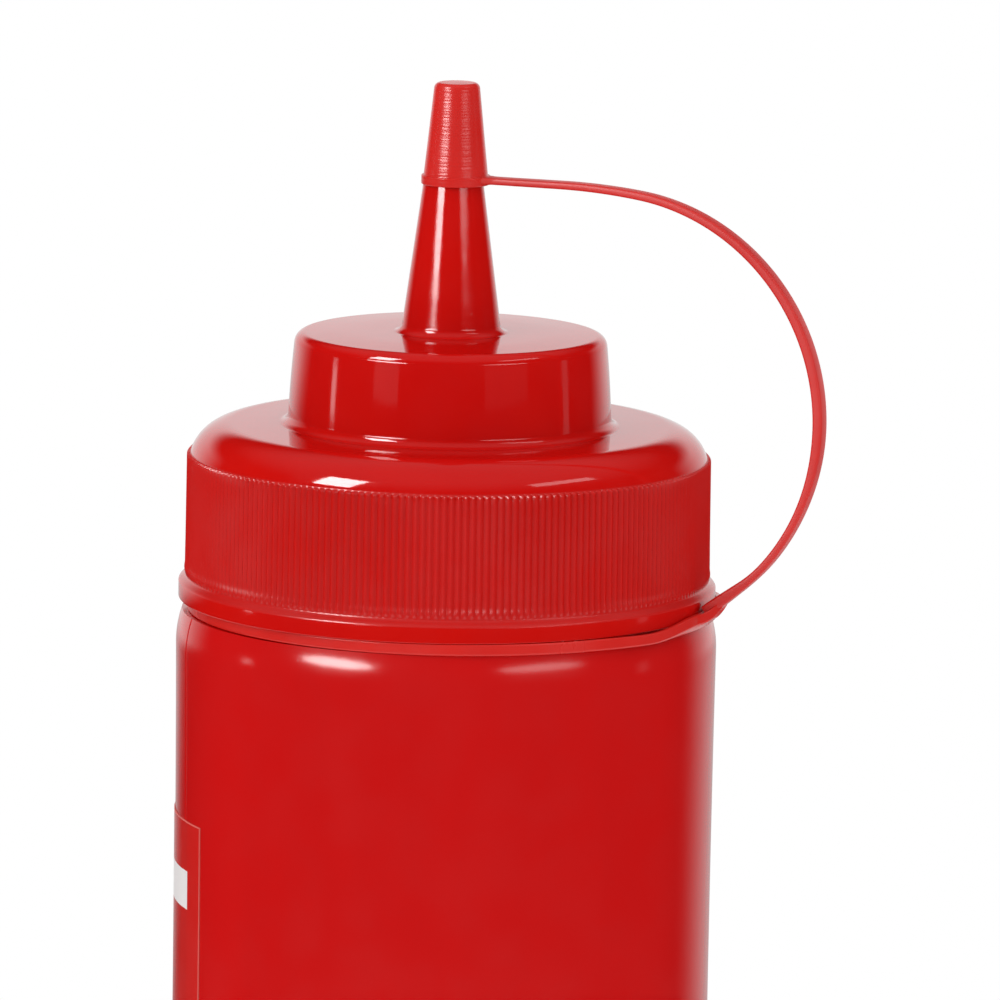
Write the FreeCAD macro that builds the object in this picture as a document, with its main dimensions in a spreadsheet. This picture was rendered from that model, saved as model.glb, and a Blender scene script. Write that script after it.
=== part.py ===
"""Squeeze bottle: a round blow-moulded bottle, a ribbed screw lid with a dome and a nozzle,
a tether moulded in one piece with the tip cap and the neck ring, and a paper-thin label.

Millimetres, +Z up. The origin is the centre of the bottle's flat base, and the tether's strap
stands in the XZ plane on the +X side. The label is centred on the -X side.
"""
import FreeCAD
import Part
import Sketcher
import os

doc = FreeCAD.newDocument("SqueezeBottle")

# ---------------------------------------------------------------- driving dimensions
SIZES = [
    # bottle
    ("body_dia", 70.0, "outer diameter of the bottle"),
    ("land_height", 171.3, "height of the flat land that carries the neck ring"),
    ("land_inset", 0.6, "from the bottle's wall in to the edge of the land"),
    ("shoulder_round", 7.5, "radius of the bottle's shoulder"),
    ("heel_round", 5.0, "radius of the bottle's heel"),
    ("neck_inset", 2.8, "from the bottle's wall in to the neck under the lid"),
    ("neck_length", 14.0, "height of the neck above the land"),
    # tether: ring
    ("ring_width", 1.2, "radial thickness of the neck ring"),
    ("ring_height", 1.1, "height of the neck ring"),
    ("ring_play", 1.6, "how much wider the ring is than the neck, on the diameter"),
    ("ring_shift", 0.4, "how far the strap draws the ring towards itself"),
    ("ring_tilt", 0.6, "degrees by which the ring hangs lower on the strap's side"),
    ("ring_clearance", 0.1, "gap over and under the ring"),
    # lid
    ("flange_inset", 0.25, "from the bottle's wall in to the edge of the lid's flange"),
    ("flange_height", 2.5, "height of the flange"),
    ("flange_round", 0.5, "rounding of the flange's upper edge"),
    ("grip_inset", 0.8, "from the flange's edge in to the grip's lower end"),
    ("grip_draft", 0.125, "how much further in the grip is at its top"),
    ("grip_height", 19.9, "from the flange's top to the flat top of the lid"),
    ("lid_round", 5.6, "rounding between the grip and the flat top"),
    ("lid_clearance", 0.3, "gap between the lid and the neck"),
    ("dome_dia", 41.8, "diameter of the dome at its foot"),
    ("dome_draft", 0.85, "how much further in the dome's wall is at its top"),
    ("dome_height", 12.0, "height of the dome over the flat top"),
    ("dome_round", 1.3, "rounding of the dome's upper edge"),
    ("dome_fillet", 1.2, "fillet at the dome's foot"),
    ("nozzle_dia", 12.95, "diameter of the nozzle at its root"),
    ("nozzle_tip_dia", 5.25, "diameter of the nozzle at its tip"),
    ("nozzle_height", 28.6, "height of the nozzle over the dome"),
    ("nozzle_fillet", 1.2, "fillet at the nozzle's root"),
    # tether: tip cap
    ("cap_cover", 9.4, "how much of the nozzle's tip the cap covers"),
    ("cap_crown", 3.4, "plastic over the cap's bore"),
    ("cap_wall", 0.34, "wall of the tip cap at its mouth"),
    ("cap_top_excess", 0.35, "how much wider the cap's top is than the nozzle's tip, on the radius"),
    ("cap_round", 0.7, "rounding of the tip cap's upper edge"),
    ("cap_clearance", 0.08, "gap between the tip cap and the nozzle"),
    ("cap_headroom", 0.3, "gap over the nozzle's tip"),
    ("collar_rim", 0.17, "how far the collar stands out from the cap's mouth"),
    ("collar_height", 1.2, "height of the collar"),
    # tether: strap
    ("strap_start", 1.0, "thickness of the strap, in the plane of its loop, at the tip cap"),
    ("strap_thick", 1.3, "thickness of the strap where the big bend ends"),
    ("strap_end", 1.6, "thickness of the strap's root"),
    ("strap_width", 2.6, "width of the strap across its loop"),
    ("strap_standoff", 15.2, "from the bottle's wall out to the loop's furthest point"),
    ("strap_ease", 54.0, "how much wider the strap first bends than in the big bend, on the radius"),
    ("strap_ease_turn", 8.5, "degrees of that first, wide bend"),
    ("strap_turn", 128.0, "degrees that the strap has turned where the big bend ends"),
    ("strap_knee", 6.0, "radius of the small bend over the root"),
    ("strap_root_angle", 36.0, "degrees below level at which the root runs in to the ring"),
    ("strap_root_drop", 1.05, "from the tab's top down to the middle of the strap's root"),
    ("tab_length", 2.0, "how far the root's tab stands out past the flange"),
    ("tab_width", 7.5, "width of the tab along the ring"),
    ("tab_height", 3.9, "height of the tab"),
    ("tab_clearance", 0.15, "gap between the tab and the lid's flange"),
    # label
    ("label_height", 84.0, "height of the label"),
    ("label_arc", 93.0, "degrees that the label wraps round the bottle"),
    ("label_thick", 0.12, "thickness of the label"),
    ("label_drop", 26.3, "from the land down to the label's upper edge"),
    ("label_gap", 0.02, "thickness of the adhesive"),
]

sheet = doc.addObject("Spreadsheet::Sheet", "Sizes")
for row, (alias, number, note) in enumerate(SIZES, start=1):
    sheet.set(f"A{row}", alias)
    sheet.set(f"B{row}", str(number))
    sheet.set(f"C{row}", note)
    sheet.setAlias(f"B{row}", alias)
doc.recompute()

ALIASES = sorted((alias for alias, _, _ in SIZES), key=len, reverse=True)


def bound(text):
    """Turn a formula in plain aliases into an expression that reads the sheet."""
    words = []
    word = ""
    for sign in text + " ":
        if sign.isalnum() or sign == "_":
            word += sign
            continue
        words.append(f"Sizes.{word}" if word in ALIASES else word)
        words.append(sign)
        word = ""
    return "".join(words).strip()


def value(text):
    """Number that a formula gives with the sheet's present sizes."""
    found = sheet.evalExpression(bound(text))
    return float(getattr(found, "Value", found))


# ---------------------------------------------------------------- derived formulas
BODY_R = "(body_dia / 2)"
LAND_R = f"({BODY_R} - land_inset)"
NECK_R = f"({BODY_R} - neck_inset)"
NECK_TOP = "(land_height + neck_length)"
SHOULDER_RISE = f"sqrt(shoulder_round ^ 2 - (shoulder_round - {BODY_R} + {LAND_R}) ^ 2)"
WALL_TOP = f"(land_height - {SHOULDER_RISE})"

RING_IN = f"({NECK_R} + ring_play / 2)"
RING_OUT = f"({RING_IN} + ring_width)"
RING_SAG = f"({RING_OUT} * sin(ring_tilt * 1deg))"
RING_MIDDLE = f"({RING_IN} + ring_width / 2)"
RING_LOW = f"(land_height + ring_clearance + {RING_SAG})"

LID_LOW = f"({RING_LOW} + ring_height + {RING_SAG} + ring_clearance)"
BORE_R = f"({NECK_R} + lid_clearance)"
FLANGE_TOP = f"({LID_LOW} + flange_height)"
LID_TOP = f"({FLANGE_TOP} + grip_height)"
FLANGE_R = f"({BODY_R} - flange_inset)"
GRIP_R = f"({FLANGE_R} - grip_inset)"
GRIP_TOP_R = f"({GRIP_R} - grip_draft)"
DOME_R = "(dome_dia / 2)"
DOME_TOP_R = f"({DOME_R} - dome_draft)"
DOME_TOP = f"({LID_TOP} + dome_height)"
NOZZLE_TOP = f"({DOME_TOP} + nozzle_height)"
NOZZLE_SLOPE = "((nozzle_dia - nozzle_tip_dia) / 2 / nozzle_height)"

CAP_LOW = f"({NOZZLE_TOP} - cap_cover)"
CAP_BORE_TOP = f"({NOZZLE_TOP} + cap_headroom)"
CAP_TOP = f"({CAP_BORE_TOP} + cap_crown)"
CAP_BORE_R = f"(nozzle_tip_dia / 2 + {NOZZLE_SLOPE} * cap_cover + cap_clearance)"
CAP_BORE_TOP_R = f"(nozzle_tip_dia / 2 - {NOZZLE_SLOPE} * cap_headroom + cap_clearance)"
CAP_MOUTH_R = f"({CAP_BORE_R} + cap_wall)"
CAP_TOP_R = "(nozzle_tip_dia / 2 + cap_top_excess)"
CAP_SLOPE = f"(({CAP_MOUTH_R} - {CAP_TOP_R}) / ({CAP_TOP} - {CAP_LOW}))"
COLLAR_R = f"({CAP_MOUTH_R} + collar_rim)"
STRAP_Z = f"({CAP_LOW} + collar_height - strap_start / 2)"

TAB_LOW = "(land_height + ring_clearance)"
TAB_TOP = f"({TAB_LOW} + tab_height)"
TAB_IN = f"({FLANGE_R} + tab_clearance)"
TAB_OUT = f"({TAB_IN} + tab_length)"

# the loop: level run, wide first bend, big bend, knee and root, each tangent to the next.
# The big bend's radius is the one that brings the root down to the tab.
EASE_SIN = "sin(strap_ease_turn * 1deg)"
EASE_COS = "cos(strap_ease_turn * 1deg)"
TURN_SIN = "sin(strap_turn * 1deg)"
TURN_COS = "cos(strap_turn * 1deg)"
ROOT_SIN = "sin(strap_root_angle * 1deg)"
ROOT_COS = "cos(strap_root_angle * 1deg)"
ROOT_TAN = "tan(strap_root_angle * 1deg)"
ROOT_X = f"({TAB_OUT} - tab_length / 2)"
ROOT_Z = f"({TAB_TOP} - strap_root_drop)"
STRAP_REACH = f"({BODY_R} + strap_standoff)"
STRAP_BEND = (f"(({STRAP_Z} - {ROOT_Z} - strap_ease * (1 - {EASE_COS})"
              f" - strap_knee * ({TURN_COS} + {ROOT_COS})"
              f" - ({STRAP_REACH} - strap_knee * ({TURN_SIN} - {ROOT_SIN}) - {ROOT_X}) * {ROOT_TAN})"
              f" / (1 - {TURN_COS} - (1 - {TURN_SIN}) * {ROOT_TAN}))")
STRAP_RUN = f"({STRAP_REACH} - {STRAP_BEND} - strap_ease * {EASE_SIN})"
EASE_R = f"({STRAP_BEND} + strap_ease)"
BEND_X = f"({STRAP_RUN} + strap_ease * {EASE_SIN})"
BEND_Z = f"({STRAP_Z} - {EASE_R} + strap_ease * {EASE_COS})"
KNEE_X = f"({BEND_X} + {STRAP_BEND} * {TURN_SIN})"
KNEE_Z = f"({BEND_Z} + {STRAP_BEND} * {TURN_COS})"
KNEE_END_X = f"({KNEE_X} - strap_knee * ({TURN_SIN} - {ROOT_SIN}))"
KNEE_END_Z = f"({KNEE_Z} - strap_knee * ({TURN_COS} + {ROOT_COS}))"

LABEL_TOP = "(land_height - label_drop)"
LABEL_LOW = f"({LABEL_TOP} - label_height)"


# ---------------------------------------------------------------- helpers
def new_body(name):
    """A PartDesign body whose label names the sub-part's file."""
    body = doc.addObject("PartDesign::Body", name.capitalize())
    body.Label = name
    return body


def plane(body, role):
    """One of the body's own origin planes, such as XZ_Plane."""
    return next(f for f in body.Origin.OriginFeatures if f.Role == role)


def new_sketch(body, name, role):
    """An empty sketch on one of the body's origin planes."""
    sketch = body.newObject("Sketcher::SketchObject", name)
    sketch.AttachmentSupport = (plane(body, role), [""])
    sketch.MapMode = "FlatFace"
    return sketch


def place_point(sketch, geo, end, across, up):
    """Bind one end of a curve to two formulas, measured from the sketch's origin."""
    for kind, formula in (("DistanceX", across), ("DistanceY", up)):
        number = value(formula)
        if abs(number) < 1e-9:
            axis = -2 if kind == "DistanceX" else -1
            sketch.addConstraint(Sketcher.Constraint("PointOnObject", geo, end, axis))
            continue
        index = sketch.addConstraint(Sketcher.Constraint(kind, -1, 1, geo, end, number))
        sketch.setExpression(f"Constraints[{index}]", bound(formula))


def arc_between(start, end, radius, left):
    """Arc from start to end, with its centre to the left or the right of the way there."""
    chord = end - start
    middle = (start + end) * 0.5
    rise = (radius ** 2 - (chord.Length / 2) ** 2) ** 0.5
    side = FreeCAD.Vector(-chord.y, chord.x, 0).normalize() * (rise if left else -rise)
    centre = middle + side
    outward = (middle - centre).normalize() * radius
    return Part.Arc(start, centre + outward, end)


def outline(sketch, corners):
    """Closed outline through the corners. Each corner is (across, up) or, where an arc leaves
    it, (across, up, radius, side), with side the hand on which the arc's centre lies."""
    points = [FreeCAD.Vector(value(c[0]), value(c[1]), 0) for c in corners]
    count = len(corners)
    ends = []
    for i, corner in enumerate(corners):
        a, b = points[i], points[(i + 1) % count]
        if len(corner) == 2:
            geo = sketch.addGeometry(Part.LineSegment(a, b), False)
            ends.append((geo, 1, 2))
            continue
        radius, left = corner[2], corner[3] == "left"
        arc = arc_between(a, b, value(radius), left)
        geo = sketch.addGeometry(arc, False)
        first = sketch.getPoint(geo, 1)
        ends.append((geo, 1, 2) if (first - a).Length < 1e-6 else (geo, 2, 1))
    for i in range(count):
        geo, _, out = ends[i]
        following, into, _ = ends[(i + 1) % count]
        sketch.addConstraint(Sketcher.Constraint("Coincident", geo, out, following, into))
    for i, corner in enumerate(corners):
        place_point(sketch, ends[i][0], ends[i][1], corner[0], corner[1])
    for i, corner in enumerate(corners):
        if len(corner) == 4:
            radius = Sketcher.Constraint("Radius", ends[i][0], value(corner[2]))
            index = sketch.addConstraint(radius)
            sketch.setExpression(f"Constraints[{index}]", bound(corner[2]))


def hang_sketch(sketch):
    """Measure the sketch from the ring's own centre, shifted and tilted by the strap's pull."""
    sketch.AttachmentOffset = FreeCAD.Placement(
        FreeCAD.Vector(0, 0, 0), FreeCAD.Rotation(FreeCAD.Vector(0, 0, 1), 0))
    sketch.setExpression("AttachmentOffset.Base.x", bound("ring_shift"))
    sketch.setExpression("AttachmentOffset.Base.y", bound(RING_LOW))
    sketch.setExpression("AttachmentOffset.Rotation.Angle", bound("-ring_tilt"))


def revolve(body, name, corners, kind="PartDesign::Revolution", hang=False):
    """Turn an outline in the XZ plane about its upright axis, adding to or cutting the body."""
    sketch = new_sketch(body, name + "Profile", "XZ_Plane")
    if hang:
        hang_sketch(sketch)
    outline(sketch, corners)
    turned = body.newObject(kind, name)
    turned.Profile = sketch
    turned.ReferenceAxis = (sketch, ["V_Axis"])
    turned.Angle = 360.0
    sketch.Visibility = False
    doc.recompute()
    return turned


def circle_edges(feature, radius, height):
    """Names of the feature's circular edges about Z with this radius at this height."""
    names = []
    for i, edge in enumerate(feature.Shape.Edges, start=1):
        curve = edge.Curve
        if not isinstance(curve, Part.Circle):
            continue
        if abs(curve.Radius - radius) < 1e-3 and abs(curve.Center.z - height) < 1e-3:
            names.append(f"Edge{i}")
    return names


def fillet(body, name, base, circles, radius):
    """Round the base feature's circular edges, each given as (radius, height) formulas."""
    names = []
    for across, height in circles:
        names += circle_edges(base, value(across), value(height))
    rounded = body.newObject("PartDesign::Fillet", name)
    rounded.Base = (base, names)
    rounded.setExpression("Radius", bound(radius))
    doc.recompute()
    return rounded


# ---------------------------------------------------------------- bottle
def make_bottle():
    """Flat base, rounded heel, straight wall, round shoulder, land and plain neck."""
    body = new_body("bottle")
    revolve(body, "BottleTurned", [
        ("0", "0"),
        (f"{BODY_R} - heel_round", "0", "heel_round", "left"),
        (BODY_R, "heel_round"),
        (BODY_R, WALL_TOP, "shoulder_round", "left"),
        (LAND_R, "land_height"),
        (NECK_R, "land_height"),
        (NECK_R, NECK_TOP),
        ("0", NECK_TOP),
    ])
    return body


# ---------------------------------------------------------------- lid
def make_lid():
    """Flange, grip, flat top, dome and nozzle in one, turned, with a seat over the neck."""
    body = new_body("lid")
    turned = revolve(body, "LidTurned", [
        (BORE_R, LID_LOW),
        (FLANGE_R, LID_LOW),
        (FLANGE_R, FLANGE_TOP),
        (GRIP_R, FLANGE_TOP),
        (GRIP_TOP_R, LID_TOP),
        (DOME_R, LID_TOP),
        (DOME_TOP_R, DOME_TOP),
        ("nozzle_dia / 2", DOME_TOP),
        ("nozzle_tip_dia / 2", NOZZLE_TOP),
        ("0", NOZZLE_TOP),
        ("0", f"{NECK_TOP} + lid_clearance"),
        (BORE_R, f"{NECK_TOP} + lid_clearance"),
    ])
    last = fillet(body, "FlangeRound", turned, [(FLANGE_R, FLANGE_TOP)], "flange_round")
    last = fillet(body, "LidRound", last, [(GRIP_TOP_R, LID_TOP)], "lid_round")
    last = fillet(body, "DomeFillet", last, [(DOME_R, LID_TOP)], "dome_fillet")
    last = fillet(body, "DomeRound", last, [(DOME_TOP_R, DOME_TOP)], "dome_round")
    fillet(body, "NozzleFillet", last, [("nozzle_dia / 2", DOME_TOP)], "nozzle_fillet")
    return body


# ---------------------------------------------------------------- tether
def pad_across(body, name, corners, width, hang=False):
    """Pad an outline in the XZ plane to both sides of it."""
    sketch = new_sketch(body, name + "Profile", "XZ_Plane")
    if hang:
        hang_sketch(sketch)
    outline(sketch, corners)
    pad = body.newObject("PartDesign::Pad", name)
    pad.Profile = sketch
    pad.Midplane = True
    pad.setExpression("Length", bound(width))
    sketch.Visibility = False
    doc.recompute()
    return pad


def strap_side(sign):
    """Corners of the strap's outer side, or with a minus sign of its inner side."""
    ease = f"({STRAP_BEND} + {sign}strap_start / 2)"
    bend = f"({STRAP_BEND} + {sign}strap_thick / 2)"
    return [
        ("0", f"{STRAP_Z} + {sign}strap_start / 2"),
        (STRAP_RUN, f"{STRAP_Z} + {sign}strap_start / 2"),
        (f"{BEND_X} + {ease} * {EASE_SIN}", f"{BEND_Z} + {ease} * {EASE_COS}"),
        (f"{BEND_X} + {bend} * {TURN_SIN}", f"{BEND_Z} + {bend} * {TURN_COS}"),
        (f"{KNEE_END_X} + {sign}strap_end / 2 * {ROOT_SIN}",
         f"{KNEE_END_Z} - ({sign}strap_end) / 2 * {ROOT_COS}"),
        (f"{ROOT_X} + {sign}strap_end / 2 * {ROOT_SIN}",
         f"{ROOT_Z} - ({sign}strap_end) / 2 * {ROOT_COS}"),
    ]


def make_tether():
    """Strap, tip cap with its collar, root tab and neck ring, moulded as one piece."""
    body = new_body("tether")

    over = strap_side("")
    under = strap_side("-")
    pad_across(body, "Strap", [
        over[0],
        (*over[1], f"{EASE_R} + strap_start / 2", "right"),
        (*over[2], f"{STRAP_BEND} + (strap_start + strap_thick) / 4", "right"),
        (*over[3], "strap_knee + (strap_thick + strap_end) / 4", "right"),
        over[4],
        over[5],
        under[5],
        (*under[4], "strap_knee - (strap_thick + strap_end) / 4", "left"),
        (*under[3], f"{STRAP_BEND} - (strap_start + strap_thick) / 4", "left"),
        (*under[2], f"{EASE_R} - strap_start / 2", "left"),
        under[1],
        under[0],
    ], "strap_width")

    cap = revolve(body, "TipCap", [
        ("0", CAP_LOW),
        (COLLAR_R, CAP_LOW),
        (COLLAR_R, f"{CAP_LOW} + collar_height"),
        (f"{CAP_MOUTH_R} - {CAP_SLOPE} * collar_height", f"{CAP_LOW} + collar_height"),
        (CAP_TOP_R, CAP_TOP),
        ("0", CAP_TOP),
    ])
    fillet(body, "CapRound", cap, [(CAP_TOP_R, CAP_TOP)], "cap_round")

    pad_across(body, "Tab", [
        (RING_MIDDLE, "0"),
        (f"{TAB_OUT} - ring_shift", "0"),
        (f"{TAB_OUT} - ring_shift", "tab_height"),
        (f"{TAB_IN} - ring_shift", "tab_height"),
        (f"{TAB_IN} - ring_shift", "ring_height"),
        (RING_MIDDLE, "ring_height"),
    ], "tab_width", hang=True)

    revolve(body, "Ring", [
        (RING_IN, "0"),
        (RING_OUT, "0"),
        (RING_OUT, "ring_height"),
        (RING_IN, "ring_height"),
    ], hang=True)

    revolve(body, "CapBore", [
        ("0", f"{CAP_LOW} - cap_headroom"),
        (f"{CAP_BORE_R} + {NOZZLE_SLOPE} * cap_headroom", f"{CAP_LOW} - cap_headroom"),
        (CAP_BORE_TOP_R, CAP_BORE_TOP),
        ("0", CAP_BORE_TOP),
    ], kind="PartDesign::Groove")
    return body


# ---------------------------------------------------------------- label
def make_label():
    """Thin label stuck round the wall, centred on the -X side."""
    body = new_body("label")
    inner = f"{BODY_R} + label_gap"
    outer = f"{BODY_R} + label_gap + label_thick"
    label = revolve(body, "LabelTurned", [
        (inner, LABEL_LOW),
        (outer, LABEL_LOW),
        (outer, LABEL_TOP),
        (inner, LABEL_TOP),
    ])
    label.Midplane = True
    label.setExpression("Angle", bound("label_arc"))
    body.Placement = FreeCAD.Placement(
        FreeCAD.Vector(0, 0, 0), FreeCAD.Rotation(FreeCAD.Vector(0, 0, 1), 180))
    doc.recompute()
    return body


# ---------------------------------------------------------------- build, check and write
bodies = [make_bottle(), make_lid(), make_tether(), make_label()]
doc.recompute()

for item in doc.Objects:
    if {"Invalid", "Error"} & set(item.State):
        raise RuntimeError(f"{item.Name} failed: {item.State}")
for body in bodies:
    shape = body.Shape
    if shape.isNull() or not shape.isValid() or len(shape.Solids) != 1:
        raise RuntimeError(f"{body.Label} isn't one valid solid")

os.makedirs("parts", exist_ok=True)
for body in bodies:
    body.Shape.exportStep(f"parts/{body.Label}.step")
    box = body.Shape.BoundBox
    print(f"{body.Label}: {body.Shape.Volume:.1f} mm3, x {box.XMin:.2f} to {box.XMax:.2f}, "
          f"y {box.YMin:.2f} to {box.YMax:.2f}, z {box.ZMin:.2f} to {box.ZMax:.2f}")
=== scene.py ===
"""Looks of a red squeeze bottle: glossy screw lid with a ribbed satin grip, a dome and a nozzle,
semi-gloss blow-moulded bottle, satin tether with its tip cap and neck ring, and a plain label.

Metres, +Z up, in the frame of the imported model. Lengths are written in millimetres times MM.
The bottle stands on its base, the strap's loop is on the +X side and the label faces -X.
"""
import math
import bpy
from mathutils import Matrix, Vector


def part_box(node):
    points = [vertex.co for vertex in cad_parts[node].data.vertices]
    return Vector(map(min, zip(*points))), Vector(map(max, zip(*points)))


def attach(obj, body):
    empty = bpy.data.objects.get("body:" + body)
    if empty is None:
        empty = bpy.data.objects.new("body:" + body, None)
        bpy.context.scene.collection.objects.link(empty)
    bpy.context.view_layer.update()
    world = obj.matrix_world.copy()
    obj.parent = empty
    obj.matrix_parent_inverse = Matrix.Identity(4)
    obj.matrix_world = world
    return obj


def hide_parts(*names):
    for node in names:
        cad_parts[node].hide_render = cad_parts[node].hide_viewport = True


MM = 0.001
TINY = 1e-7

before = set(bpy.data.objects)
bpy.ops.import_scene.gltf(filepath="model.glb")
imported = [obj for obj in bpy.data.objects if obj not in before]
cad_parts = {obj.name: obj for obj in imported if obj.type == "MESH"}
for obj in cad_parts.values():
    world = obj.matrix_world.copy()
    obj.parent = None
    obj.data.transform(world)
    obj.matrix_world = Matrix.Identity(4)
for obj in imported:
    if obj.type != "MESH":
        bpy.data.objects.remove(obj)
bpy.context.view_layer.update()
bottle_low, bottle_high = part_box("bottle")
lid_low, lid_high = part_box("lid")
tether_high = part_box("tether")[1]
label_low, label_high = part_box("label")

# ---------------------------------------------------------------- sizes of the bottle
BODY_R = bottle_high.x
NECK_TOP = bottle_high.z
NECK_LENGTH = 14.0 * MM
LAND = NECK_TOP - NECK_LENGTH
LAND_R = BODY_R - 0.76 * MM
LAND_FLAT = 0.3 * MM
NECK_R = BODY_R - 2.8 * MM
SHOULDER_ROUND = 14.0 * MM
SHOULDER_STEPS = 12
HEEL_ROUND = 5.0 * MM
BASE_RECESS = 1.2 * MM
RECESS_R = BODY_R - 13 * MM
RECESS_ROUND = 2 * MM
STANDING_R = BODY_R - 10 * MM
STANDING_ROUND = 1 * MM
WALL_STEP = 2 * MM
WALL_ANGLES = 360
WAIST = 0.22 * MM
WAIST_TOP = LAND - 3.0 * MM
DENT = 0.035 * MM
# each dent wave: times round the wall, shift, radians per metre of height, strength
DENT_WAVES = [(2, 0.7, 21, 1.0), (3, -1.9, -34, 1.0), (5, 2.3, 58, 0.6)]
SEAM_DEPTH = 0.07 * MM
SEAM_WIDTH = 0.16 * MM
SEAM_ANGLE = math.radians(-142.6)

# ---------------------------------------------------------------- sizes of the lid
LID_LOW = lid_low.z
FLANGE_R = lid_high.x
FLANGE_LOW = LID_LOW - 0.42 * MM
FLANGE_TOP = LID_LOW + 2.5 * MM
FLANGE_EDGE = 0.12 * MM
LID_TOP = FLANGE_TOP + 19.9 * MM
DOME_TOP = LID_TOP + 12.0 * MM
NOZZLE_TOP = lid_high.z
SEAT_CLEARANCE = 0.3 * MM
BORE_R = NECK_R + SEAT_CLEARANCE
SEAT_TOP = NECK_TOP + SEAT_CLEARANCE
GRIP_R = FLANGE_R - 0.8 * MM
GRIP_TOP_R = GRIP_R - 0.125 * MM
RIB_COUNT = 234
RIB_STEPS = 6
RIB_DEPTH = 0.26 * MM
RIB_WIDENING = 0.8
RIB_LOW = FLANGE_TOP - 0.2 * MM
RIB_FADE = 1.2 * MM
RIB_TOP = FLANGE_TOP + 15.85 * MM
RIB_END = 0.3 * MM
FOOT_RISE = 1.7 * MM
FOOT_DROP = 0.9 * MM
FOOT_STEP = 0.88 * MM
FOOT_KNEE = 0.1 * MM
GRIP_START = 0.3 * MM
GRIP_ROW = 1.2 * MM
DOME_ROW = 0.8 * MM
TIP_ROW = 0.1 * MM
SATIN_OVER = 0.3 * MM
LID_ROUND = 5.45 * MM
LID_FALL = 0.25 * MM
DOME_R = 20.9 * MM
DOME_TOP_R = DOME_R - 0.85 * MM
DOME_ROUND = 1.4 * MM
DOME_FILLET = 1.3 * MM
DOME_BARREL = 0.10 * MM
DOME_FALL = 0.24 * MM
# the dome's slightly crowned top: share of the dome's radius, fall below its middle
DOME_CROWN = [(0.80, 0.14 * MM), (0.68, 0.06 * MM), (0.56, 0.02 * MM)]
NOZZLE_R = 6.475 * MM
NOZZLE_TIP_R = 2.625 * MM
NOZZLE_TIP_ROUND = 0.3 * MM
NOZZLE_FILLET = 1.2 * MM

# ---------------------------------------------------------------- sizes of the tip cap
CAP_LOW = NOZZLE_TOP - 9.4 * MM
CAP_TOP = tether_high.z
CAP_CLEARANCE = 0.25 * MM
CAP_HEADROOM = 0.3 * MM
CAP_SHIFT = 0.3 * MM
CAP_ROUND = 0.75 * MM
CAP_ANGLES = 128
NOZZLE_SLOPE = (NOZZLE_R - NOZZLE_TIP_R) / (NOZZLE_TOP - DOME_TOP)
CAP_BORE_R = NOZZLE_TIP_R + NOZZLE_SLOPE * (NOZZLE_TOP - CAP_LOW) + CAP_CLEARANCE
CAP_MOUTH_R = CAP_BORE_R + 0.12 * MM
CAP_TOP_R = NOZZLE_TIP_R + 0.26 * MM
COLLAR_R = CAP_MOUTH_R + 0.17 * MM
COLLAR_HEIGHT = 1.15 * MM
COLLAR_EDGE = 0.12 * MM
COLLAR_FILLET = 0.1 * MM

# ---------------------------------------------------------------- sizes of the neck ring
RING_OUT = FLANGE_R - 0.35 * MM
RING_SHIFT = 0.86 * MM
RING_WIDTH = 1.7 * MM
RING_HEIGHT = 1.52 * MM
RING_THINNING = 0.1 * MM
RING_EDGE = 0.28 * MM
RING_TOP_EDGE = RING_EDGE * 0.6
RING_LOW = LAND + 0.03 * MM
RING_SPAN = math.radians(38)
RING_RISE = 1.0 * MM
RISE_SPAN = math.radians(23)
FAR_SIDE = 1.9
DRAW_RATE = 2
INNER_RATE = 3
RISE_RATE = 1.3
FINE_SPAN = math.radians(10)
FINE_SECTIONS = 120
COARSE_SECTIONS = 300

# ---------------------------------------------------------------- sizes of the strap
STRAP_START = 0.88 * MM
STRAP_THICK = 1.3 * MM
STRAP_END = 1.6 * MM
STRAP_SLIM = 0.28 * MM
STRAP_WIDTH = 2.4 * MM
STRAP_FLARE = 1.2 * MM
THICKENING = 1.6
STRAP_CORNER = 0.34 * MM
CORNER_STEPS = 6
FLARE_LENGTH = 1.6 * MM
END_LENGTH = 9.0 * MM
END_GROWTH = 8.5 * MM
SLIM_LENGTH = 30 * MM
SLIM_GROWTH = 14 * MM
STRAP_Z = CAP_LOW + COLLAR_HEIGHT - 0.02 * MM - STRAP_START / 2
STRAP_REACH = tether_high.x - STRAP_THICK / 2
STRAP_TURN = math.radians(128)
STRAP_EASE = 54 * MM
EASE_TURN = math.radians(7.6)
STRAP_KNEE = 22.0 * MM
STRAP_SINK = 0.1 * MM
ROOT_ANGLE = math.radians(37.5)
ROOT_IN = FLANGE_R + 0.12 * MM
ROOT_OUT = ROOT_IN + 0.8 * MM
ROOT_X = ROOT_IN + 0.7 * MM
ROOT_Z = LAND + 2.50 * MM
ROOT_FILLET = 2.8 * MM
ROOT_INSET = 0.3 * MM
ROOT_RISE = 0.95 * MM
ROOT_TAPER = 0.32 * MM

# ---------------------------------------------------------------- sizes of the label
LABEL_ARC = math.radians(93)
LABEL_THICK = 0.12 * MM
LABEL_GAP = 0.02 * MM
LABEL_EDGE = 0.16 * MM
LABEL_MARGIN = 4.2 * MM
BLOCK_MARGIN = 12 * MM
LABEL_COLUMNS = 60
LABEL_ROWS = 42


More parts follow.
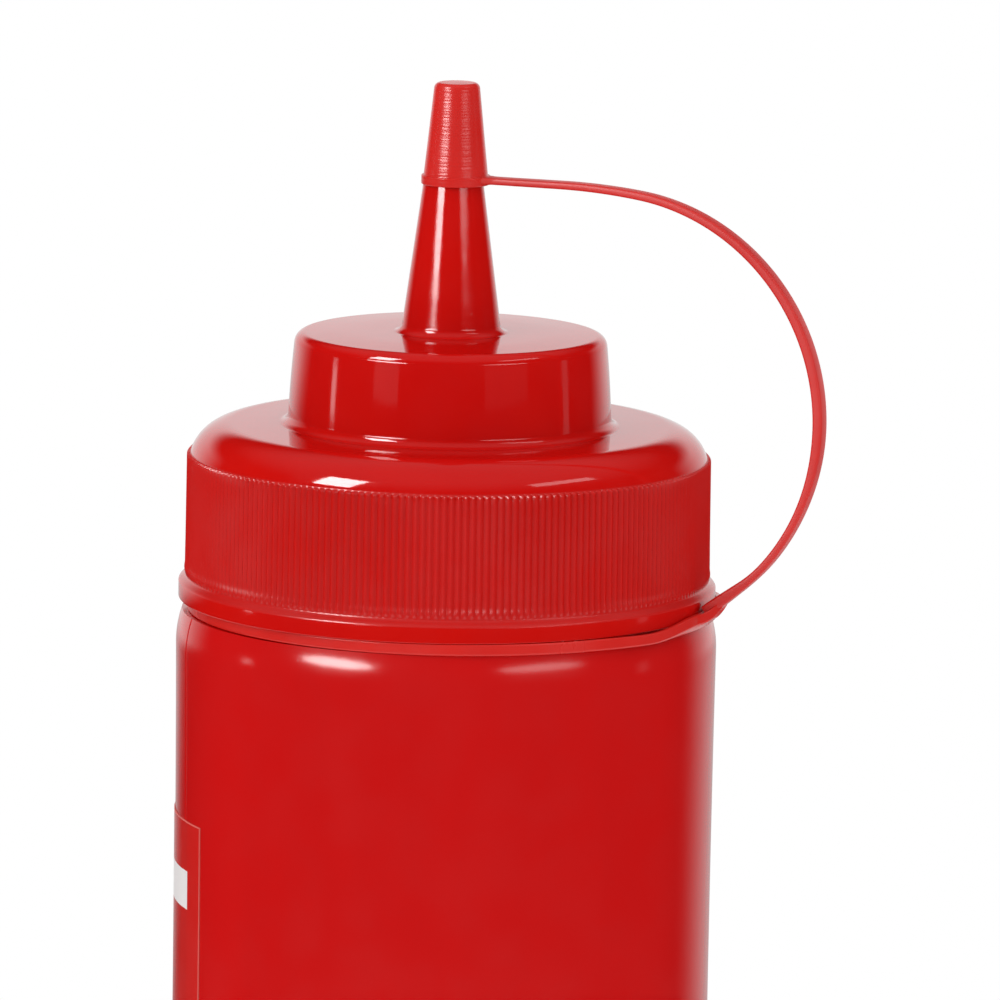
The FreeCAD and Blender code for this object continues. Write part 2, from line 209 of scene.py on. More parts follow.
# ---------------------------------------------------------------- profiles
def rounded(corners, steps=8, guard=0.12 * MM):
    """Profile through (r, z) or (r, z, rounding) corners, with arcs at the rounded ones and
    a short guard edge on both sides of each arc, so that the flats shade flat."""
    points = []
    for i, corner in enumerate(corners):
        here = Vector(corner[:2])
        if len(corner) == 2:
            points.append(tuple(here))
            continue
        back = (Vector(corners[i - 1][:2]) - here).normalized()
        ahead = (Vector(corners[(i + 1) % len(corners)][:2]) - here).normalized()
        half = back.angle(ahead) / 2
        reach = corner[2] / math.tan(half)
        centre = here + (back + ahead).normalized() * corner[2] / math.sin(half)
        start = here + back * reach - centre
        sweep = start.angle_signed(here + ahead * reach - centre)
        points.append(tuple(centre + start + back * guard))
        for k in range(steps + 1):
            turn = -sweep * k / steps
            points.append(tuple(centre + Matrix.Rotation(turn, 2) @ start))
        points.append(tuple(here + ahead * (reach + guard)))
    return points


def divided(profile, low, high, step):
    """The profile with its outer wall between two heights cut into rows of about one step."""
    points = [profile[0]]
    for a, b in zip(profile, profile[1:]):
        rise = b[1] - a[1]
        inside = low - TINY <= min(a[1], b[1]) and max(a[1], b[1]) <= high + TINY
        rows = max(1, round(abs(rise) / step)) if inside else 1
        for k in range(1, rows + 1):
            points.append((a[0] + (b[0] - a[0]) * k / rows, a[1] + rise * k / rows))
    return points


def even_angles(count):
    """Angles that share a full turn evenly."""
    return [math.tau * i / count for i in range(count)]


# ---------------------------------------------------------------- meshes
def mesh_piece(name, vertices, faces, sharp=35):
    """Mesh object with smooth shading that breaks only at edges sharper than this angle."""
    mesh = bpy.data.meshes.new(name)
    mesh.from_pydata(vertices, [], faces)
    mesh.validate()
    mesh.shade_smooth()
    mesh.set_sharp_from_angle(angle=math.radians(sharp))
    piece = bpy.data.objects.new(name, mesh)
    bpy.context.scene.collection.objects.link(piece)
    return piece


def turned(name, profile, angles, relief=None):
    """Solid turned from (r, z) points. relief(r, z, angle) gives how far each point moves out."""
    count = len(angles)
    vertices, rows = [], []
    for r, z in profile:
        if r < TINY:
            rows.append([len(vertices)] * count)
            vertices.append((0.0, 0.0, z))
            continue
        rows.append(list(range(len(vertices), len(vertices) + count)))
        for a in angles:
            out = r + (relief(r, z, a) if relief else 0.0)
            vertices.append((out * math.cos(a), out * math.sin(a), z))
    faces = []
    for low, high in zip(rows, rows[1:]):
        for i in range(count):
            j = (i + 1) % count
            faces.append(list(dict.fromkeys((low[i], low[j], high[j], high[i]))))
    return mesh_piece(name, vertices, faces)


def smooth_share(value):
    """Ease from 0 to 1 with level ends."""
    value = min(max(value, 0.0), 1.0)
    return value * value * (3 - 2 * value)


def seam_gap(angle):
    """Distance along the wall from the nearer of the two mould seams."""
    turn = (angle - SEAM_ANGLE) % math.pi
    return min(turn, math.pi - turn) * BODY_R


def wall_offset(z, angle):
    """How far the bottle's wall departs from the plain cylinder: waist, soft dents, seams."""
    share = min(max((z - HEEL_ROUND) / (WAIST_TOP - HEEL_ROUND), 0.0), 1.0)
    waist = WAIST * (1 - (1 - 2 * share) ** 4)
    wave = sum(strength * math.sin(times * angle + shift + rate * z)
               for times, shift, rate, strength in DENT_WAVES)
    fade = math.sin(math.pi * share)
    seam = SEAM_DEPTH * math.exp(-(seam_gap(angle) / SEAM_WIDTH) ** 2)
    return min(-waist + fade * DENT * wave, 0.0) - seam


def bottle_relief(r, z, angle):
    """The wall's departures, carried on over the shoulder and faded out on heel and neck."""
    if r < LAND_R - 0.01 * MM or z < TINY:
        return 0.0
    return wall_offset(z, angle)


def make_bottle():
    """Bottle with a recessed base, rounded heel, waisted wall, round shoulder and neck."""
    wall_top = LAND - math.sqrt(SHOULDER_ROUND ** 2 - (SHOULDER_ROUND - BODY_R + LAND_R) ** 2)
    profile = rounded([
        (0, BASE_RECESS),
        (RECESS_R, BASE_RECESS, RECESS_ROUND),
        (STANDING_R, 0, STANDING_ROUND),
        (BODY_R, 0, HEEL_ROUND),
        (BODY_R, LAND),
    ], steps=10)[:-3]
    profile += divided([(BODY_R, HEEL_ROUND), (BODY_R, wall_top)], 0, LAND, WALL_STEP)
    for k in range(1, SHOULDER_STEPS + 1):
        z = wall_top + (LAND - wall_top) * k / SHOULDER_STEPS
        profile.append((BODY_R - SHOULDER_ROUND + math.sqrt(
            SHOULDER_ROUND ** 2 - (z - wall_top) ** 2), z))
    profile += [(LAND_R - LAND_FLAT, LAND), (NECK_R, LAND), (NECK_R, NECK_TOP), (0, NECK_TOP)]
    seams = [SEAM_ANGLE % math.tau, (SEAM_ANGLE + math.pi) % math.tau]
    steps = [s * SEAM_WIDTH * k / BODY_R for k in (0.5, 1, 1.5, 2.2, 3.5) for s in (-1, 1)]
    angles = even_angles(WALL_ANGLES) + [seam + step for seam in seams for step in steps + [0.0]]
    return turned("bottle_shell", profile, sorted(set(angles)), bottle_relief)


def rib_shape(angle):
    """Height of the grip's ribs round the lid, from 0 in a groove to 1 on a crest."""
    phase = angle / math.tau * RIB_COUNT % 1.0
    return (0.5 + 0.5 * math.cos(math.tau * phase)) ** RIB_WIDENING


def lid_relief(r, z, angle):
    """Ribs that stand out of the grip and end in round tips, and the dome's slight barrel."""
    if r < DOME_R + 1 * MM:
        share = (z - LID_TOP) / (DOME_TOP - LID_TOP)
        if r > DOME_TOP_R - DOME_ROUND and 0 < share < 0.98:
            return DOME_BARREL * math.sin(math.pi * share)
        return 0.0
    if not RIB_LOW < z < RIB_TOP:
        return 0.0
    top = min((RIB_TOP - z) / RIB_END, 1.0)
    window = math.sqrt(max(0.0, 1 - (1 - top) ** 2)) * smooth_share((z - RIB_LOW) / RIB_FADE)
    crest = GRIP_R - (GRIP_R - GRIP_TOP_R) * (z - FLANGE_TOP) / (LID_TOP - FLANGE_TOP)
    stand = max(crest - r, 0.0) if z > FLANGE_TOP + 2 * FOOT_RISE else RIB_DEPTH
    return stand * window * rib_shape(angle)


def lid_foot(groove):
    """Profile of the foot: a step in from the flange's face, then an ease into the grooves."""
    low, knee, high = FLANGE_TOP - FOOT_DROP, FLANGE_TOP + FOOT_KNEE, FLANGE_TOP + FOOT_RISE
    knee_r = FLANGE_R - FOOT_STEP
    step_rows, ease_rows = 14, 8
    points = []
    for k in range(step_rows + 1):
        z = low + (knee - low) * k / step_rows
        points.append((FLANGE_R - FOOT_STEP * smooth_share(k / step_rows), z))
    for k in range(1, ease_rows + 1):
        z = knee + (high - knee) * k / ease_rows
        points.append((knee_r + (groove - knee_r) * smooth_share(k / ease_rows), z))
    return points


def make_lid():
    """Flange, ribbed grip, rounded shoulder, dome and nozzle, with the seat over the neck.
    The grip and its foot are faces of a second, satin material."""
    profile = rounded([
        (0, SEAT_TOP),
        (BORE_R, SEAT_TOP),
        (BORE_R, FLANGE_LOW),
        (FLANGE_R, FLANGE_LOW, FLANGE_EDGE),
        (FLANGE_R, FLANGE_TOP),
    ], steps=6)[:-1]
    groove = GRIP_R - RIB_DEPTH
    profile += lid_foot(groove)
    profile += rounded([
        (groove, FLANGE_TOP + FOOT_RISE + GRIP_START),
        (GRIP_TOP_R - RIB_DEPTH, LID_TOP - LID_FALL, LID_ROUND),
        (DOME_R, LID_TOP, DOME_FILLET),
        (DOME_TOP_R, DOME_TOP - DOME_FALL, DOME_ROUND),
        *[(DOME_R * share, DOME_TOP - fall) for share, fall in DOME_CROWN],
        (NOZZLE_R, DOME_TOP, NOZZLE_FILLET),
        (NOZZLE_TIP_R, NOZZLE_TOP, NOZZLE_TIP_ROUND),
        (0, NOZZLE_TOP),
    ], steps=20)
    profile = divided(profile, FLANGE_TOP + FOOT_RISE, RIB_TOP - 2 * RIB_END, GRIP_ROW)
    profile = divided(profile, LID_TOP + DOME_FILLET, DOME_TOP - DOME_ROUND, DOME_ROW)
    profile = divided(profile, RIB_TOP - 3 * RIB_END, RIB_TOP + RIB_END, TIP_ROW)
    lid = turned("lid_shell", profile, even_angles(RIB_COUNT * RIB_STEPS), lid_relief)
    for face in lid.data.polygons:
        x, y, z = face.center
        outside = math.hypot(x, y) > BORE_R + 0.2 * MM
        grip = FLANGE_TOP - FOOT_DROP < z < RIB_TOP + SATIN_OVER
        face.material_index = 1 if outside and grip else 0
    return lid


def make_cap():
    """Tip cap: collar at its mouth, long tapered wall, rounded top and a bore for the nozzle."""
    slope = (CAP_MOUTH_R - CAP_TOP_R) / (CAP_TOP - CAP_LOW)
    over = CAP_LOW + COLLAR_HEIGHT
    bore_top = NOZZLE_TOP + CAP_HEADROOM
    profile = rounded([
        (0, bore_top),
        (CAP_BORE_R - NOZZLE_SLOPE * (bore_top - CAP_LOW), bore_top),
        (CAP_BORE_R, CAP_LOW),
        (COLLAR_R, CAP_LOW, COLLAR_EDGE),
        (COLLAR_R, over, COLLAR_EDGE),
        (CAP_MOUTH_R - slope * COLLAR_HEIGHT, over, COLLAR_FILLET),
        (CAP_TOP_R, CAP_TOP, CAP_ROUND),
        (0, CAP_TOP),
    ], steps=8, guard=0.03 * MM)
    cap = turned("tip_cap", profile, even_angles(CAP_ANGLES))
    cap.data.transform(Matrix.Translation((CAP_SHIFT, 0, 0)))
    return cap


def ring_section(angle):
    """Ring's section at an angle from the strap: under the flange at the back; drawn out past
    the flange and upwards near the strap, further on its far side; and out along the strap in
    a hollow rounding, between the strap's lower and upper faces."""
    turn = (angle + math.pi) % math.tau - math.pi
    away = abs(turn) / (FAR_SIDE if turn > 0 else 1.0)
    drawn = smooth_share(DRAW_RATE * (1 - away / RING_SPAN))
    rest = RING_OUT + RING_SHIFT * math.cos(turn)
    hold = rest - RING_WIDTH
    inner = hold + (ROOT_IN - hold) * smooth_share(INNER_RATE * (1 - away / RING_SPAN))
    out = rest + (ROOT_OUT - rest) * drawn
    low = RING_LOW + RING_RISE * smooth_share(RISE_RATE * (1 - away / RISE_SPAN))
    high = low + RING_HEIGHT - RING_THINNING * drawn
    side = ROOT_OUT * abs(turn) - STRAP_WIDTH / 2 + ROOT_INSET
    near = min(max(1 - side / ROOT_FILLET, 0.0), 0.995)
    reach = ROOT_FILLET * (1 - math.sqrt(1 - near ** 2))
    share = reach / ROOT_FILLET
    middle = ROOT_Z + (out + reach - ROOT_X) * math.tan(ROOT_ANGLE)
    half = ROOT_RISE - ROOT_TAPER * share
    tip_low = low + (middle - half - low) * share
    tip_high = high + (middle + half - high) * share
    end = out + reach
    between = [inner + RING_EDGE * 1.2 + (end - inner - RING_EDGE * 2.4) * k / 6
               for k in range(7)]
    plain = rounded([
        (inner, low, RING_EDGE),
        *[(r, low) for r in between],
        (end, low, RING_EDGE),
        (end, high, RING_TOP_EDGE),
        *[(r, high) for r in reversed(between)],
        (inner, high, RING_EDGE),
    ], steps=4, guard=0.01 * MM)
    section = []
    for r, z in plain:
        past = min(max((r - out) / max(reach, TINY), 0.0), 1.0)
        within = min((r - inner) / (out - inner), 1.0)
        bottom = RING_LOW + (low - RING_LOW) * within + (tip_low - low) * past
        top = high + (tip_high - high) * past
        section.append((r, bottom + (z - low) / (high - low) * (top - bottom)))
    return section


def make_ring():
    """Neck ring as one closed loop of sections, finer near the strap."""
    angles = [FINE_SPAN * (2 * k / FINE_SECTIONS - 1) for k in range(FINE_SECTIONS + 1)]
    angles += [FINE_SPAN + (math.tau - 2 * FINE_SPAN) * k / COARSE_SECTIONS
               for k in range(1, COARSE_SECTIONS)]
    vertices = []
    for a in angles:
        section = ring_section(a)
        vertices += [(r * math.cos(a), r * math.sin(a), z) for r, z in section]
    count = len(section)
    faces = []
    for i in range(len(angles)):
        here, there = i * count, (i + 1) % len(angles) * count
        for p in range(count):
            q = (p + 1) % count
            faces.append([here + p, there + p, there + q, here + q])
    return mesh_piece("neck_ring", vertices, faces, sharp=50)


def loop_path():
    """Centre line of the strap in the XZ plane as (x, z, heading) from the cap to the ring."""
    root_tan = math.tan(ROOT_ANGLE)
    rise = STRAP_Z - ROOT_Z - STRAP_KNEE * (math.cos(STRAP_TURN) + math.cos(ROOT_ANGLE))
    rise -= STRAP_EASE * (1 - math.cos(EASE_TURN))
    run = STRAP_REACH - STRAP_KNEE * (math.sin(STRAP_TURN) - math.sin(ROOT_ANGLE)) - ROOT_X
    bend = (rise - run * root_tan) / (
        1 - math.cos(STRAP_TURN) - (1 - math.sin(STRAP_TURN)) * root_tan)
    x, z, heading = CAP_MOUTH_R - STRAP_SINK, STRAP_Z, 0.0
    end_turn = math.pi - ROOT_ANGLE
    path = []
    stages = [
        (STRAP_REACH - bend - STRAP_EASE * math.sin(EASE_TURN) - x, 0.0, 24),
        ((bend + STRAP_EASE) * EASE_TURN, EASE_TURN, 24),
        (bend * (STRAP_TURN - EASE_TURN), STRAP_TURN - EASE_TURN, 90),
        (STRAP_KNEE * (end_turn - STRAP_TURN), end_turn - STRAP_TURN, 10),
    ]
    for length, turn, steps in stages:
        for _ in range(steps):
            path.append((x, z, heading))
            half = turn / steps / 2
            x += length / steps * math.cos(heading + half)
            z -= length / steps * math.sin(heading + half)
            heading += 2 * half
    steps = 28
    last_x, last_z = x, z
    for k in range(steps + 1):
        share = k / steps
        path.append((last_x + (ROOT_X - last_x) * share, last_z + (ROOT_Z - last_z) * share,
                     heading))
    return path


def make_strap():
    """Strap swept along its loop: a rounded flat section that widens into the collar, slims on its
    way down and thickens into the ring."""
    path = loop_path()
    lengths = [0.0]
    for a, b in zip(path, path[1:]):
        lengths.append(lengths[-1] + math.hypot(b[0] - a[0], b[1] - a[1]))
    total = lengths[-1]
    vertices, rows = [], []
    for (x, z, heading), at in zip(path, lengths):
        start = 1 - smooth_share(at / FLARE_LENGTH)
        end = smooth_share((at - total + END_LENGTH) / END_GROWTH)
        slim = smooth_share((at - total + SLIM_LENGTH) / SLIM_GROWTH)
        thick = STRAP_START + (STRAP_THICK - STRAP_START) * smooth_share(at / total * THICKENING)
        thick += (STRAP_END - STRAP_THICK + STRAP_SLIM) * end - STRAP_SLIM * slim
        width = STRAP_WIDTH + STRAP_FLARE * start
        rows.append(range(len(vertices), len(vertices) + 4 * CORNER_STEPS))
        for quarter in range(4):
            for k in range(CORNER_STEPS):
                turn = math.pi / 2 * (quarter + k / (CORNER_STEPS - 1))
                up = math.copysign(thick / 2 - STRAP_CORNER, (1, -1, -1, 1)[quarter])
                side = math.copysign(width / 2 - STRAP_CORNER, (1, 1, -1, -1)[quarter])
                up += STRAP_CORNER * math.cos(turn)
                side += STRAP_CORNER * math.sin(turn)
                vertices.append((x + up * math.sin(heading), side, z + up * math.cos(heading)))
    count = 4 * CORNER_STEPS
    faces = [list(rows[0])[::-1], list(rows[-1])]
    for low, high in zip(rows, rows[1:]):
        for i in range(count):
            j = (i + 1) % count
            faces.append([low[i], low[j], high[j], high[i]])
    return mesh_piece("strap", vertices, faces)


def make_label():
    """Thin label on the wall, with plain printed fields as faces of a second material and the
    film's cut edge as faces of a third. Fields are (left, right, low, high) on the flat label."""
    height = label_high.z - label_low.z
    length = LABEL_ARC * BODY_R
    fields = [
        (LABEL_MARGIN, length - LABEL_MARGIN, height - 11.5 * MM, height - 6.5 * MM),
        (LABEL_MARGIN, length - LABEL_MARGIN, 6.5 * MM, 8.0 * MM),
        (BLOCK_MARGIN, length - BLOCK_MARGIN, 16 * MM, 56 * MM),
    ]
    border = [(0, length, 0, LABEL_EDGE), (0, length, height - LABEL_EDGE, height),
              (0, LABEL_EDGE, 0, height), (length - LABEL_EDGE, length, 0, height)]
    across = {0.0, length} | {v for f in fields + border for v in f[:2]}
    up = {0.0, height} | {v for f in fields + border for v in f[2:]}
    across |= {length * i / LABEL_COLUMNS for i in range(LABEL_COLUMNS + 1)}
    up |= {height * i / LABEL_ROWS for i in range(LABEL_ROWS + 1)}

    def spread(values):
        """The values in order, without those that nearly repeat."""
        kept = []
        for v in sorted(values):
            if not kept or v - kept[-1] > 0.02 * MM:
                kept.append(v)
        return kept

    across, up = spread(across), spread(up)
    vertices = []
    for layer in (LABEL_GAP, LABEL_GAP + LABEL_THICK):
        for s in across:
            angle = math.pi - LABEL_ARC / 2 + s / BODY_R
            for h in up:
                z = label_low.z + h
                r = BODY_R + wall_offset(z, angle) + layer
                vertices.append((r * math.cos(angle), r * math.sin(angle), z))
    rows, columns = len(up), len(across)
    back = rows * columns
    faces, kinds = [], []
    for i in range(columns - 1):
        for k in range(rows - 1):
            a = i * rows + k
            s, h = (across[i] + across[i + 1]) / 2, (up[k] + up[k + 1]) / 2
            printed = any(f[0] < s < f[1] and f[2] < h < f[3] for f in fields)
            cut = any(f[0] < s < f[1] and f[2] < h < f[3] for f in border)
            faces.append([back + a, back + a + rows, back + a + rows + 1, back + a + 1])
            kinds.append(2 if cut else 1 if printed else 0)
            faces.append([a, a + 1, a + rows + 1, a + rows])
            kinds.append(0)
    rim = [i * rows for i in range(columns)]
    rim += [(columns - 1) * rows + k for k in range(1, rows)]
    rim += [i * rows + rows - 1 for i in reversed(range(columns - 1))]
    rim += [k for k in reversed(range(1, rows - 1))]
    for a, b in zip(rim, rim[1:] + rim[:1]):
        faces.append([a, b, back + b, back + a])
        kinds.append(2)
    label = mesh_piece("label_film_sheet", vertices, faces)
    for face, kind in zip(label.data.polygons, kinds):
        face.material_index = kind
    return label


# ---------------------------------------------------------------- materials
# features per metre of the plastics' unevenness
CLOUD_SCALE = 55
GLOSS_SCALE = 160
SKIN_SCALE = 260
PIMPLE_SCALE = 1500
LINE_SCALE = 3200


def shader_nodes(name):
    """New node material, its node tree and its Principled shader."""
    material = bpy.data.materials.new(name)
    material.use_nodes = True
    tree = material.node_tree
    return material, tree, tree.nodes["Principled BSDF"]


def noise(tree, place, scale, detail=2.0, stretch=(1, 1, 1)):
    """Noise over the object's own coordinates, at a scale in features per metre."""
    mapping = tree.nodes.new("ShaderNodeMapping")
    mapping.inputs["Scale"].default_value = stretch
    tree.links.new(place.outputs["Object"], mapping.inputs["Vector"])
    texture = tree.nodes.new("ShaderNodeTexNoise")
    texture.inputs["Scale"].default_value = scale
    texture.inputs["Detail"].default_value = detail
    tree.links.new(mapping.outputs["Vector"], texture.inputs["Vector"])
    return texture.outputs["Fac"]


def ranged(tree, value, low, high, start=0.3, stop=0.7):
    """Map a value onto a range, smoothly."""
    node = tree.nodes.new("ShaderNodeMapRange")
    node.interpolation_type = "SMOOTHSTEP"
    for key, number in (("From Min", start), ("From Max", stop), ("To Min", low), ("To Max", high)):
        node.inputs[key].default_value = number
    tree.links.new(value, node.inputs["Value"])
    return node.outputs["Result"]


def bump(tree, height, distance, strength, before=None):
    """Bump from a height, added onto an earlier bump."""
    node = tree.nodes.new("ShaderNodeBump")
    node.inputs["Distance"].default_value = distance
    node.inputs["Strength"].default_value = strength
    tree.links.new(height, node.inputs["Height"])
    if before:
        tree.links.new(before, node.inputs["Normal"])
    return node.outputs["Normal"]


def plastic(name, light, dark, rough, skin, specks, lines=0.0, streaks=1.0):
    """Moulded plastic: clouded colour, uneven gloss, a soft skin texture and tiny specks.
    rough is the range of roughness, skin the depth of the soft unevenness, specks the depth
    of small pimples, lines the depth of fine level rings such as a turned mould leaves, and
    streaks, under 1, how far the clouds are drawn out along the height."""
    material, tree, shader = shader_nodes(name)
    place = tree.nodes.new("ShaderNodeTexCoord")
    cloud = ranged(tree, noise(tree, place, CLOUD_SCALE, 3, stretch=(1, 1, streaks)), 0, 1)
    mix = tree.nodes.new("ShaderNodeMix")
    mix.data_type = "RGBA"
    mix.inputs["A"].default_value = (*dark, 1)
    mix.inputs["B"].default_value = (*light, 1)
    tree.links.new(cloud, mix.inputs["Factor"])
    tree.links.new(mix.outputs["Result"], shader.inputs["Base Color"])
    uneven = ranged(tree, noise(tree, place, GLOSS_SCALE, 4), *rough)
    tree.links.new(uneven, shader.inputs["Roughness"])
    normal = bump(tree, noise(tree, place, SKIN_SCALE, 2), skin, 1.0)
    pimples = ranged(tree, noise(tree, place, PIMPLE_SCALE, 1), 0, 1, 0.68, 0.8)
    normal = bump(tree, pimples, specks, 1.0, normal)
    if lines:
        rings = noise(tree, place, LINE_SCALE, 1, stretch=(0.02, 0.02, 1))
        normal = bump(tree, rings, lines, 1.0, normal)
    tree.links.new(normal, shader.inputs["Normal"])
    shader.inputs["IOR"].default_value = 1.5
    return material


def dress(piece, node, slot, *materials):
    """Give a piece its materials and its body, and hide the CAD node it stands for. The slot
    argument is not used.
    """
    for material in materials:
        piece.data.materials.append(material)
    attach(piece, "root")
    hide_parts(node)
    return piece


RED = (0.585, 0.005, 0.003)
RED_DEEP = (0.55, 0.004, 0.003)
GRIP_RED = (0.58, 0.007, 0.005)
GRIP_DEEP = (0.545, 0.006, 0.004)
BOTTLE_RED = (0.585, 0.003, 0.003)
BOTTLE_DEEP = (0.55, 0.0025, 0.0025)
TETHER_RED = (0.69, 0.015, 0.010)
TETHER_DEEP = (0.62, 0.011, 0.007)
LABEL_RED = (0.62, 0.010, 0.007)
PRINT_WHITE = (0.84, 0.80, 0.79)
EDGE_PINK = (0.72, 0.12, 0.10)

bottle_plastic = plastic("bottle_plastic", BOTTLE_RED, BOTTLE_DEEP, (0.14, 0.17), 0.012 * MM,
                         0.003 * MM, streaks=0.1)
lid_plastic = plastic("lid_plastic", RED, RED_DEEP, (0.06, 0.10), 0.008 * MM, 0.002 * MM)
grip_plastic = plastic("grip_plastic", GRIP_RED, GRIP_DEEP, (0.18, 0.23), 0.008 * MM, 0.002 * MM)
tether_plastic = plastic("tether_plastic", TETHER_RED, TETHER_DEEP, (0.20, 0.28), 0.02 * MM,
                         0.008 * MM)
cap_plastic = plastic("cap_plastic", TETHER_RED, TETHER_DEEP, (0.20, 0.28), 0.01 * MM,
                      0.006 * MM, lines=0.03 * MM)
strap_plastic = plastic("strap_plastic", TETHER_RED, TETHER_DEEP, (0.36, 0.44), 0.02 * MM,
                        0.008 * MM)
label_film = plastic("label_film", LABEL_RED, LABEL_RED, (0.17, 0.21), 0.01 * MM, 0.0)
label_print = plastic("label_print", PRINT_WHITE, PRINT_WHITE, (0.30, 0.36), 0.01 * MM, 0.0)
label_edge = plastic("label_edge", EDGE_PINK, EDGE_PINK, (0.4, 0.5), 0.01 * MM, 0.0)

dress(make_bottle(), "bottle", "bottle_plastic", bottle_plastic)
dress(make_lid(), "lid", "lid_plastic", lid_plastic, grip_plastic)
dress(make_cap(), "tether", "tether_plastic", cap_plastic)
dress(make_ring(), "tether", "tether_plastic", tether_plastic)
dress(make_strap(), "tether", "tether_plastic", strap_plastic)
dress(make_label(), "label", "label_film", label_film, label_print, label_edge)

# ---------------------------------------------------------------- camera
VIEW_ANGLE = math.radians(20)
CAMERA_DISTANCE = 1.300
CAMERA_OVER_FLANGE = 0.2229
CAMERA_PITCH = math.radians(9.303)
CAMERA_YAW = math.radians(0.294)
CAMERA_ROLL = math.radians(0.964)
CAMERA_LENS = 366.9
SENSOR_WIDTH = 36.0

camera = bpy.data.objects.new("camera", bpy.data.cameras.new("camera"))
bpy.context.scene.collection.objects.link(camera)
camera.data.lens = CAMERA_LENS
camera.data.sensor_width = SENSOR_WIDTH
camera.data.clip_start = 0.05
camera.data.clip_end = 50
spot = Vector((math.sin(VIEW_ANGLE) * CAMERA_DISTANCE, -math.cos(VIEW_ANGLE) * CAMERA_DISTANCE,
               FLANGE_TOP + CAMERA_OVER_FLANGE))
aim = (Matrix.Rotation(VIEW_ANGLE - CAMERA_YAW, 4, "Z")
       @ Matrix.Rotation(math.pi / 2 - CAMERA_PITCH, 4, "X")
       @ Matrix.Rotation(CAMERA_ROLL, 4, "Z"))
camera.matrix_world = Matrix.Translation(spot) @ aim
bpy.context.scene.camera = camera

# ---------------------------------------------------------------- lamps
STUDIO_CENTRE = Vector((0, 0, LID_TOP))
LAMPS = [
    # name, degrees right of the camera, degrees up, wide, high, distance, radiance, gloss only;
    # the low ones are ellipses
    ("key", -57, 38.5, 0.36, 0.42, 1.2, 22.0, True),
    ("key_low", -47, 11.0, 0.68, 0.18, 1.2, 15.0, True),
    ("fill", 64, 45, 0.60, 0.15, 1.2, 3.0, True),
    ("fill_low", 41, 11.0, 0.78, 0.14, 1.2, 3.4, True),
    ("left_strip", -92, -2.6, 0.09, 0.08, 1.2, 3.5, True),
    ("right_strip", 91, -2, 0.12, 0.18, 1.2, 0.4, True),
    ("panel_left", -47, 1, 0.40, 0.10, 1.2, 0.35, True),
    ("panel_right", 41, 1, 0.70, 0.10, 1.2, 0.12, True),
    ("soft_left", -60, 35, 1.0, 1.0, 1.6, 1.5, False),
]
for name, right, up, wide, high, distance, radiance, gloss_only in LAMPS:
    lamp = bpy.data.objects.new(name, bpy.data.lights.new(name, "AREA"))
    bpy.context.scene.collection.objects.link(lamp)
    lamp.data.shape = "ELLIPSE" if name.endswith("_low") else "RECTANGLE"
    lamp.data.size = wide
    lamp.data.size_y = high
    lamp.data.energy = radiance * math.pi * wide * high
    turn = VIEW_ANGLE - math.pi / 2 + math.radians(right)
    level = math.cos(math.radians(up))
    away = Vector((math.cos(turn) * level, math.sin(turn) * level, math.sin(math.radians(up))))
    lamp.location = STUDIO_CENTRE + away * distance
    lamp.rotation_euler = away.to_track_quat("Z", "Y").to_euler()
    lamp.visible_camera = False
    lamp.visible_diffuse = not gloss_only
    lamp.visible_glossy = gloss_only

# ---------------------------------------------------------------- world and floor
AMBIENT = 1.0
ROOM_GLOSS = 0.01
CEILING = 0.3
FLOOR_R = 0.48
FLOOR_GAP = 0.05 * MM
FLOOR_PALE = (0.86, 0.86, 0.86)
SHEET_SLANT = 0.2
# where the bright sheet behind the object, and the dim ceiling, begin and end, as shares of a
# ray's direction: towards the back, upwards, and upwards along the slanted lower edge
SHEET_BACK = (0.50, 0.90)
SHEET_TOP = (0.22, 0.40)
SHEET_LOW = (-0.30, -0.21)
SHEET_DIMMING = (-0.17, -0.10)
DIMMED = 0.62
CEILING_RISE = (0.45, 0.92)


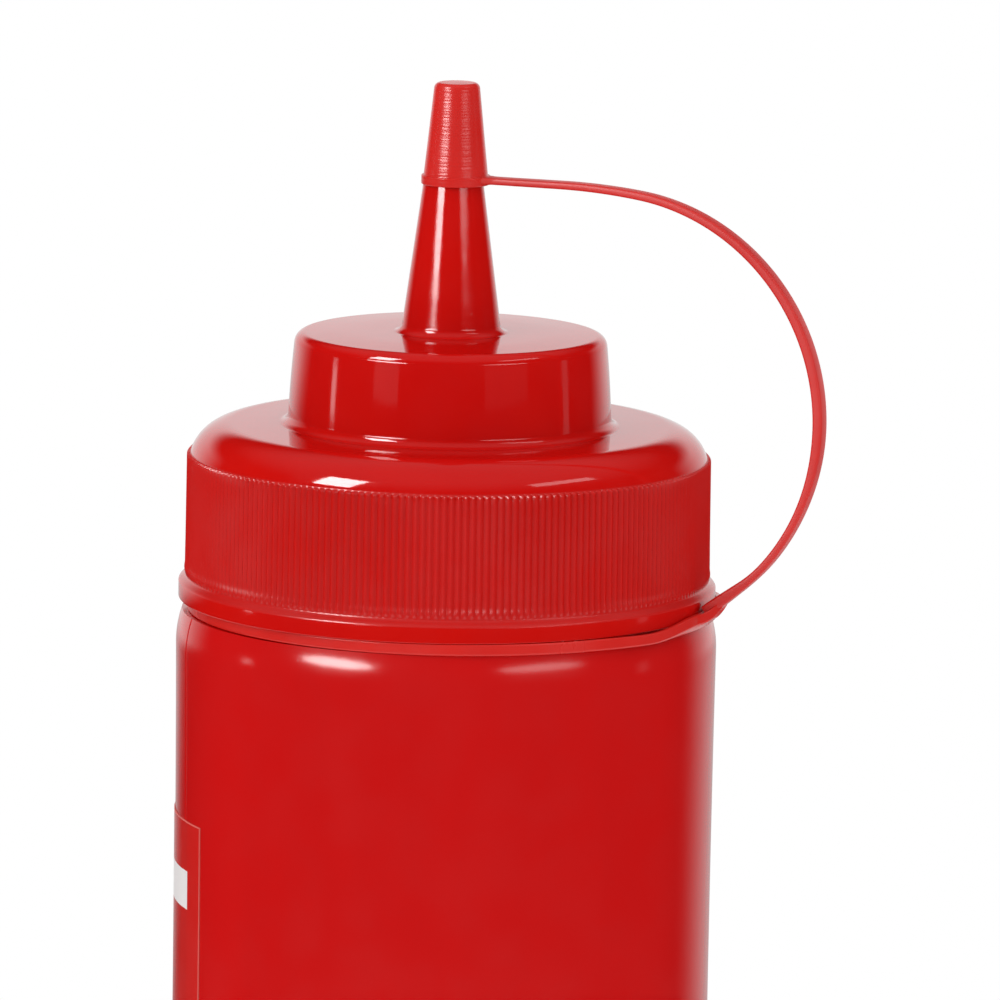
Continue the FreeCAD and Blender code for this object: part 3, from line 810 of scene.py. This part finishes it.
def make_world():
    """White behind the object for camera, glossy and transmitted rays; a dim room elsewhere."""
    world = bpy.data.worlds.new("studio")
    bpy.context.scene.world = world
    world.use_nodes = True
    tree = world.node_tree
    background = tree.nodes["Background"]
    rays = tree.nodes.new("ShaderNodeLightPath")
    place = tree.nodes.new("ShaderNodeTexCoord")
    backwards = tree.nodes.new("ShaderNodeVectorMath")
    backwards.operation = "DOT_PRODUCT"
    backwards.inputs[1].default_value = (-math.sin(VIEW_ANGLE), math.cos(VIEW_ANGLE), 0)
    tree.links.new(place.outputs["Generated"], backwards.inputs[0])
    behind = ranged(tree, backwards.outputs["Value"], 0, 1, *SHEET_BACK)
    split = tree.nodes.new("ShaderNodeSeparateXYZ")
    tree.links.new(place.outputs["Generated"], split.inputs[0])
    under = ranged(tree, split.outputs["Z"], 1, 0, *SHEET_TOP)
    slanted = tree.nodes.new("ShaderNodeVectorMath")
    slanted.operation = "DOT_PRODUCT"
    slanted.inputs[1].default_value = (
        SHEET_SLANT * math.cos(VIEW_ANGLE), SHEET_SLANT * math.sin(VIEW_ANGLE), 1)
    tree.links.new(place.outputs["Generated"], slanted.inputs[0])
    over = ranged(tree, slanted.outputs["Value"], 0, 1, *SHEET_LOW)

    def joined(kind, a, b):
        """One Math node over two outputs, or over an output and a number."""
        node = tree.nodes.new("ShaderNodeMath")
        node.operation = kind
        for socket, item in zip(node.inputs, (a, b)):
            if isinstance(item, float):
                socket.default_value = item
            else:
                tree.links.new(item, socket)
        return node.outputs[0]

    sheet = joined("MULTIPLY", behind, under)
    sheet = joined("MULTIPLY", sheet, over)
    dimmer = ranged(tree, split.outputs["Z"], DIMMED, 1, *SHEET_DIMMING)
    sheet = joined("MULTIPLY", sheet, dimmer)
    ceiling = ranged(tree, split.outputs["Z"], 0, CEILING, *CEILING_RISE)
    sheet = joined("ADD", sheet, ceiling)
    sheet = joined("MULTIPLY", sheet, rays.outputs["Is Glossy Ray"])
    white = joined("MAXIMUM", rays.outputs["Is Camera Ray"], rays.outputs["Is Transmission Ray"])
    white = joined("MAXIMUM", white, sheet)
    room = joined("MULTIPLY", rays.outputs["Is Diffuse Ray"], AMBIENT - ROOM_GLOSS)
    room = joined("ADD", room, ROOM_GLOSS)
    strength = joined("MAXIMUM", white, room)
    tree.links.new(strength, background.inputs["Strength"])
    background.inputs["Color"].default_value = (1, 1, 1, 1)


def make_floor():
    """Round pale floor that fades into the white background away from the object."""
    count = 96
    vertices = [(0, 0, 0)] + [(FLOOR_R * math.cos(a), FLOOR_R * math.sin(a), 0)
                              for a in even_angles(count)]
    faces = [(0, i + 1, (i + 1) % count + 1) for i in range(count)]
    floor = mesh_piece("floor", vertices, faces)
    floor.location.z = bottle_low.z - FLOOR_GAP
    material, tree, shader = shader_nodes("floor_paper")
    shader.inputs["Base Color"].default_value = (*FLOOR_PALE, 1)
    shader.inputs["Roughness"].default_value = 0.8
    shader.inputs["Specular IOR Level"].default_value = 0.1
    rays = tree.nodes.new("ShaderNodeLightPath")
    place = tree.nodes.new("ShaderNodeTexCoord")
    length = tree.nodes.new("ShaderNodeVectorMath")
    length.operation = "LENGTH"
    tree.links.new(place.outputs["Object"], length.inputs[0])
    fade = ranged(tree, length.outputs["Value"], 0, 1, 0.2 * FLOOR_R, 0.95 * FLOOR_R)
    seen = tree.nodes.new("ShaderNodeMath")
    seen.operation = "MULTIPLY"
    tree.links.new(fade, seen.inputs[0])
    tree.links.new(rays.outputs["Is Camera Ray"], seen.inputs[1])
    white = tree.nodes.new("ShaderNodeEmission")
    mix = tree.nodes.new("ShaderNodeMixShader")
    tree.links.new(seen.outputs[0], mix.inputs[0])
    tree.links.new(shader.outputs[0], mix.inputs[1])
    tree.links.new(white.outputs[0], mix.inputs[2])
    tree.links.new(mix.outputs[0], tree.nodes["Material Output"].inputs["Surface"])
    floor.data.materials.append(material)


make_world()
make_floor()
bpy.context.scene.view_settings.view_transform = "Standard"
